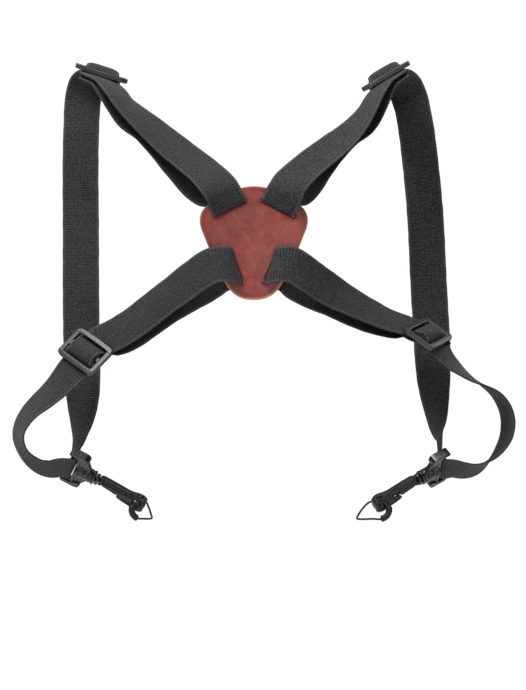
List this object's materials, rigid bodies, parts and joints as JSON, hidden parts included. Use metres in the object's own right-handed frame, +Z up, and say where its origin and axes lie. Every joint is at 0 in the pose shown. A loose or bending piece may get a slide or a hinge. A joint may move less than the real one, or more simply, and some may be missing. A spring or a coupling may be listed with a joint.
{
  "type": "binocular harness",
  "caption": "X-back strap harness for carrying binoculars: slotted leather back plate, elastic webbing straps, sliding adjusters, swivel snap hooks with cord loops.",
  "frame": {"origin": "centre of the leather plate's back face, the unskived field that lies against the wearer's back", "axes": "+Z up towards the shoulders, +Y out of the plate's back face towards the shoulder straps' front runs, +X right as the plate's front is seen"},
  "size_m": [0.338, 0.0977, 0.3099],
  "materials": {
    "leather_face": "semi-gloss, lightly worn",
    "leather_back": "matte, bright cut edge",
    "webbing": "ribbed elastic weave, matte",
    "slider_plastic": "satin",
    "hook_plastic": "gloss",
    "cord_fabric": "braided, matte"
  },
  "bodies": {
    "harness": {"back_plate_outer": "leather_face", "back_plate_inner": "leather_back", "strap_left": "webbing", "strap_right": "webbing"},
    "upper_slider_left": {"upper_slider_left": "slider_plastic"},
    "lower_slider_left": {"lower_slider_left": "slider_plastic"},
    "upper_slider_right": {"upper_slider_right": "slider_plastic"},
    "lower_slider_right": {"lower_slider_right": "slider_plastic"},
    "eye_left": {"hook_eye_left": "hook_plastic"},
    "hook_left": {"swivel_stem_left": "hook_plastic", "hook_body_left": "hook_plastic"},
    "gate_left": {"gate_tongue_left": "hook_plastic"},
    "cord_left": {"lug_cord_left": "cord_fabric", "cord_sleeve_left": "cord_fabric"},
    "eye_right": {"hook_eye_right": "hook_plastic"},
    "hook_right": {"swivel_stem_right": "hook_plastic", "hook_body_right": "hook_plastic"},
    "gate_right": {"gate_tongue_right": "hook_plastic"},
    "cord_right": {"lug_cord_right": "cord_fabric", "cord_sleeve_right": "cord_fabric"}
  },
  "joints": [
    {"name": "upper_slider_left_slide", "type": "slide", "parent": "harness", "child": "upper_slider_left", "axis": [-0.0266, -0.9962, -0.083], "range_m": [-0.006, 0.012], "deforming": ["strap_left"]},
    {"name": "lower_slider_left_slide", "type": "slide", "parent": "harness", "child": "lower_slider_left", "axis": [0.6682, 0.2468, 0.7018], "range_m": [-0.006, 0.012], "deforming": ["strap_left"]},
    {"name": "upper_slider_right_slide", "type": "slide", "parent": "harness", "child": "upper_slider_right", "axis": [0.0441, -0.9962, -0.0752], "range_m": [-0.006, 0.012], "deforming": ["strap_right"]},
    {"name": "lower_slider_right_slide", "type": "slide", "parent": "harness", "child": "lower_slider_right", "axis": [-0.7628, 0.2921, 0.577], "range_m": [-0.006, 0.012], "deforming": ["strap_right"]},
    {"name": "eye_left_swing", "type": "hinge", "parent": "harness", "child": "eye_left", "pos_m": [-0.12469, 0.056, -0.14709], "axis": [0.3006, -0.757, 0.5802], "range_deg": [-20, 20]},
    {"name": "hook_left_swivel", "type": "hinge", "parent": "eye_left", "child": "hook_left", "pos_m": [-0.11137, 0.056, -0.15399], "axis": [0.8879, 0, -0.46], "continuous": true},
    {"name": "gate_left_press", "type": "hinge", "parent": "hook_left", "child": "gate_left", "pos_m": [-0.10198, 0.056, -0.16021], "axis": [0, -1, 0], "range_deg": [0, 2.5]},
    {"name": "cord_left_swing", "type": "hinge", "parent": "hook_left", "child": "cord_left", "pos_m": [-0.07967, 0.056, -0.17194], "axis": [0, 1, 0], "range_deg": [-15, 15]},
    {"name": "eye_right_swing", "type": "hinge", "parent": "harness", "child": "eye_right", "pos_m": [0.12779, 0.056, -0.1473], "axis": [0.0221, -0.8078, 0.589], "range_deg": [-20, 20]},
    {"name": "hook_right_swivel", "type": "hinge", "parent": "eye_right", "child": "hook_right", "pos_m": [0.11529, 0.0509, -0.15382], "axis": [-0.8338, -0.3399, -0.4349], "continuous": true},
    {"name": "gate_right_press", "type": "hinge", "parent": "hook_right", "child": "gate_right", "pos_m": [0.10643, 0.04729, -0.15977], "axis": [-0.3775, 0.926, 0], "range_deg": [0, 2.5]},
    {"name": "cord_right_swing", "type": "hinge", "parent": "hook_right", "child": "cord_right", "pos_m": [0.08548, 0.03875, -0.17087], "axis": [0.3775, -0.926, 0], "range_deg": [-15, 15]}
  ]
}
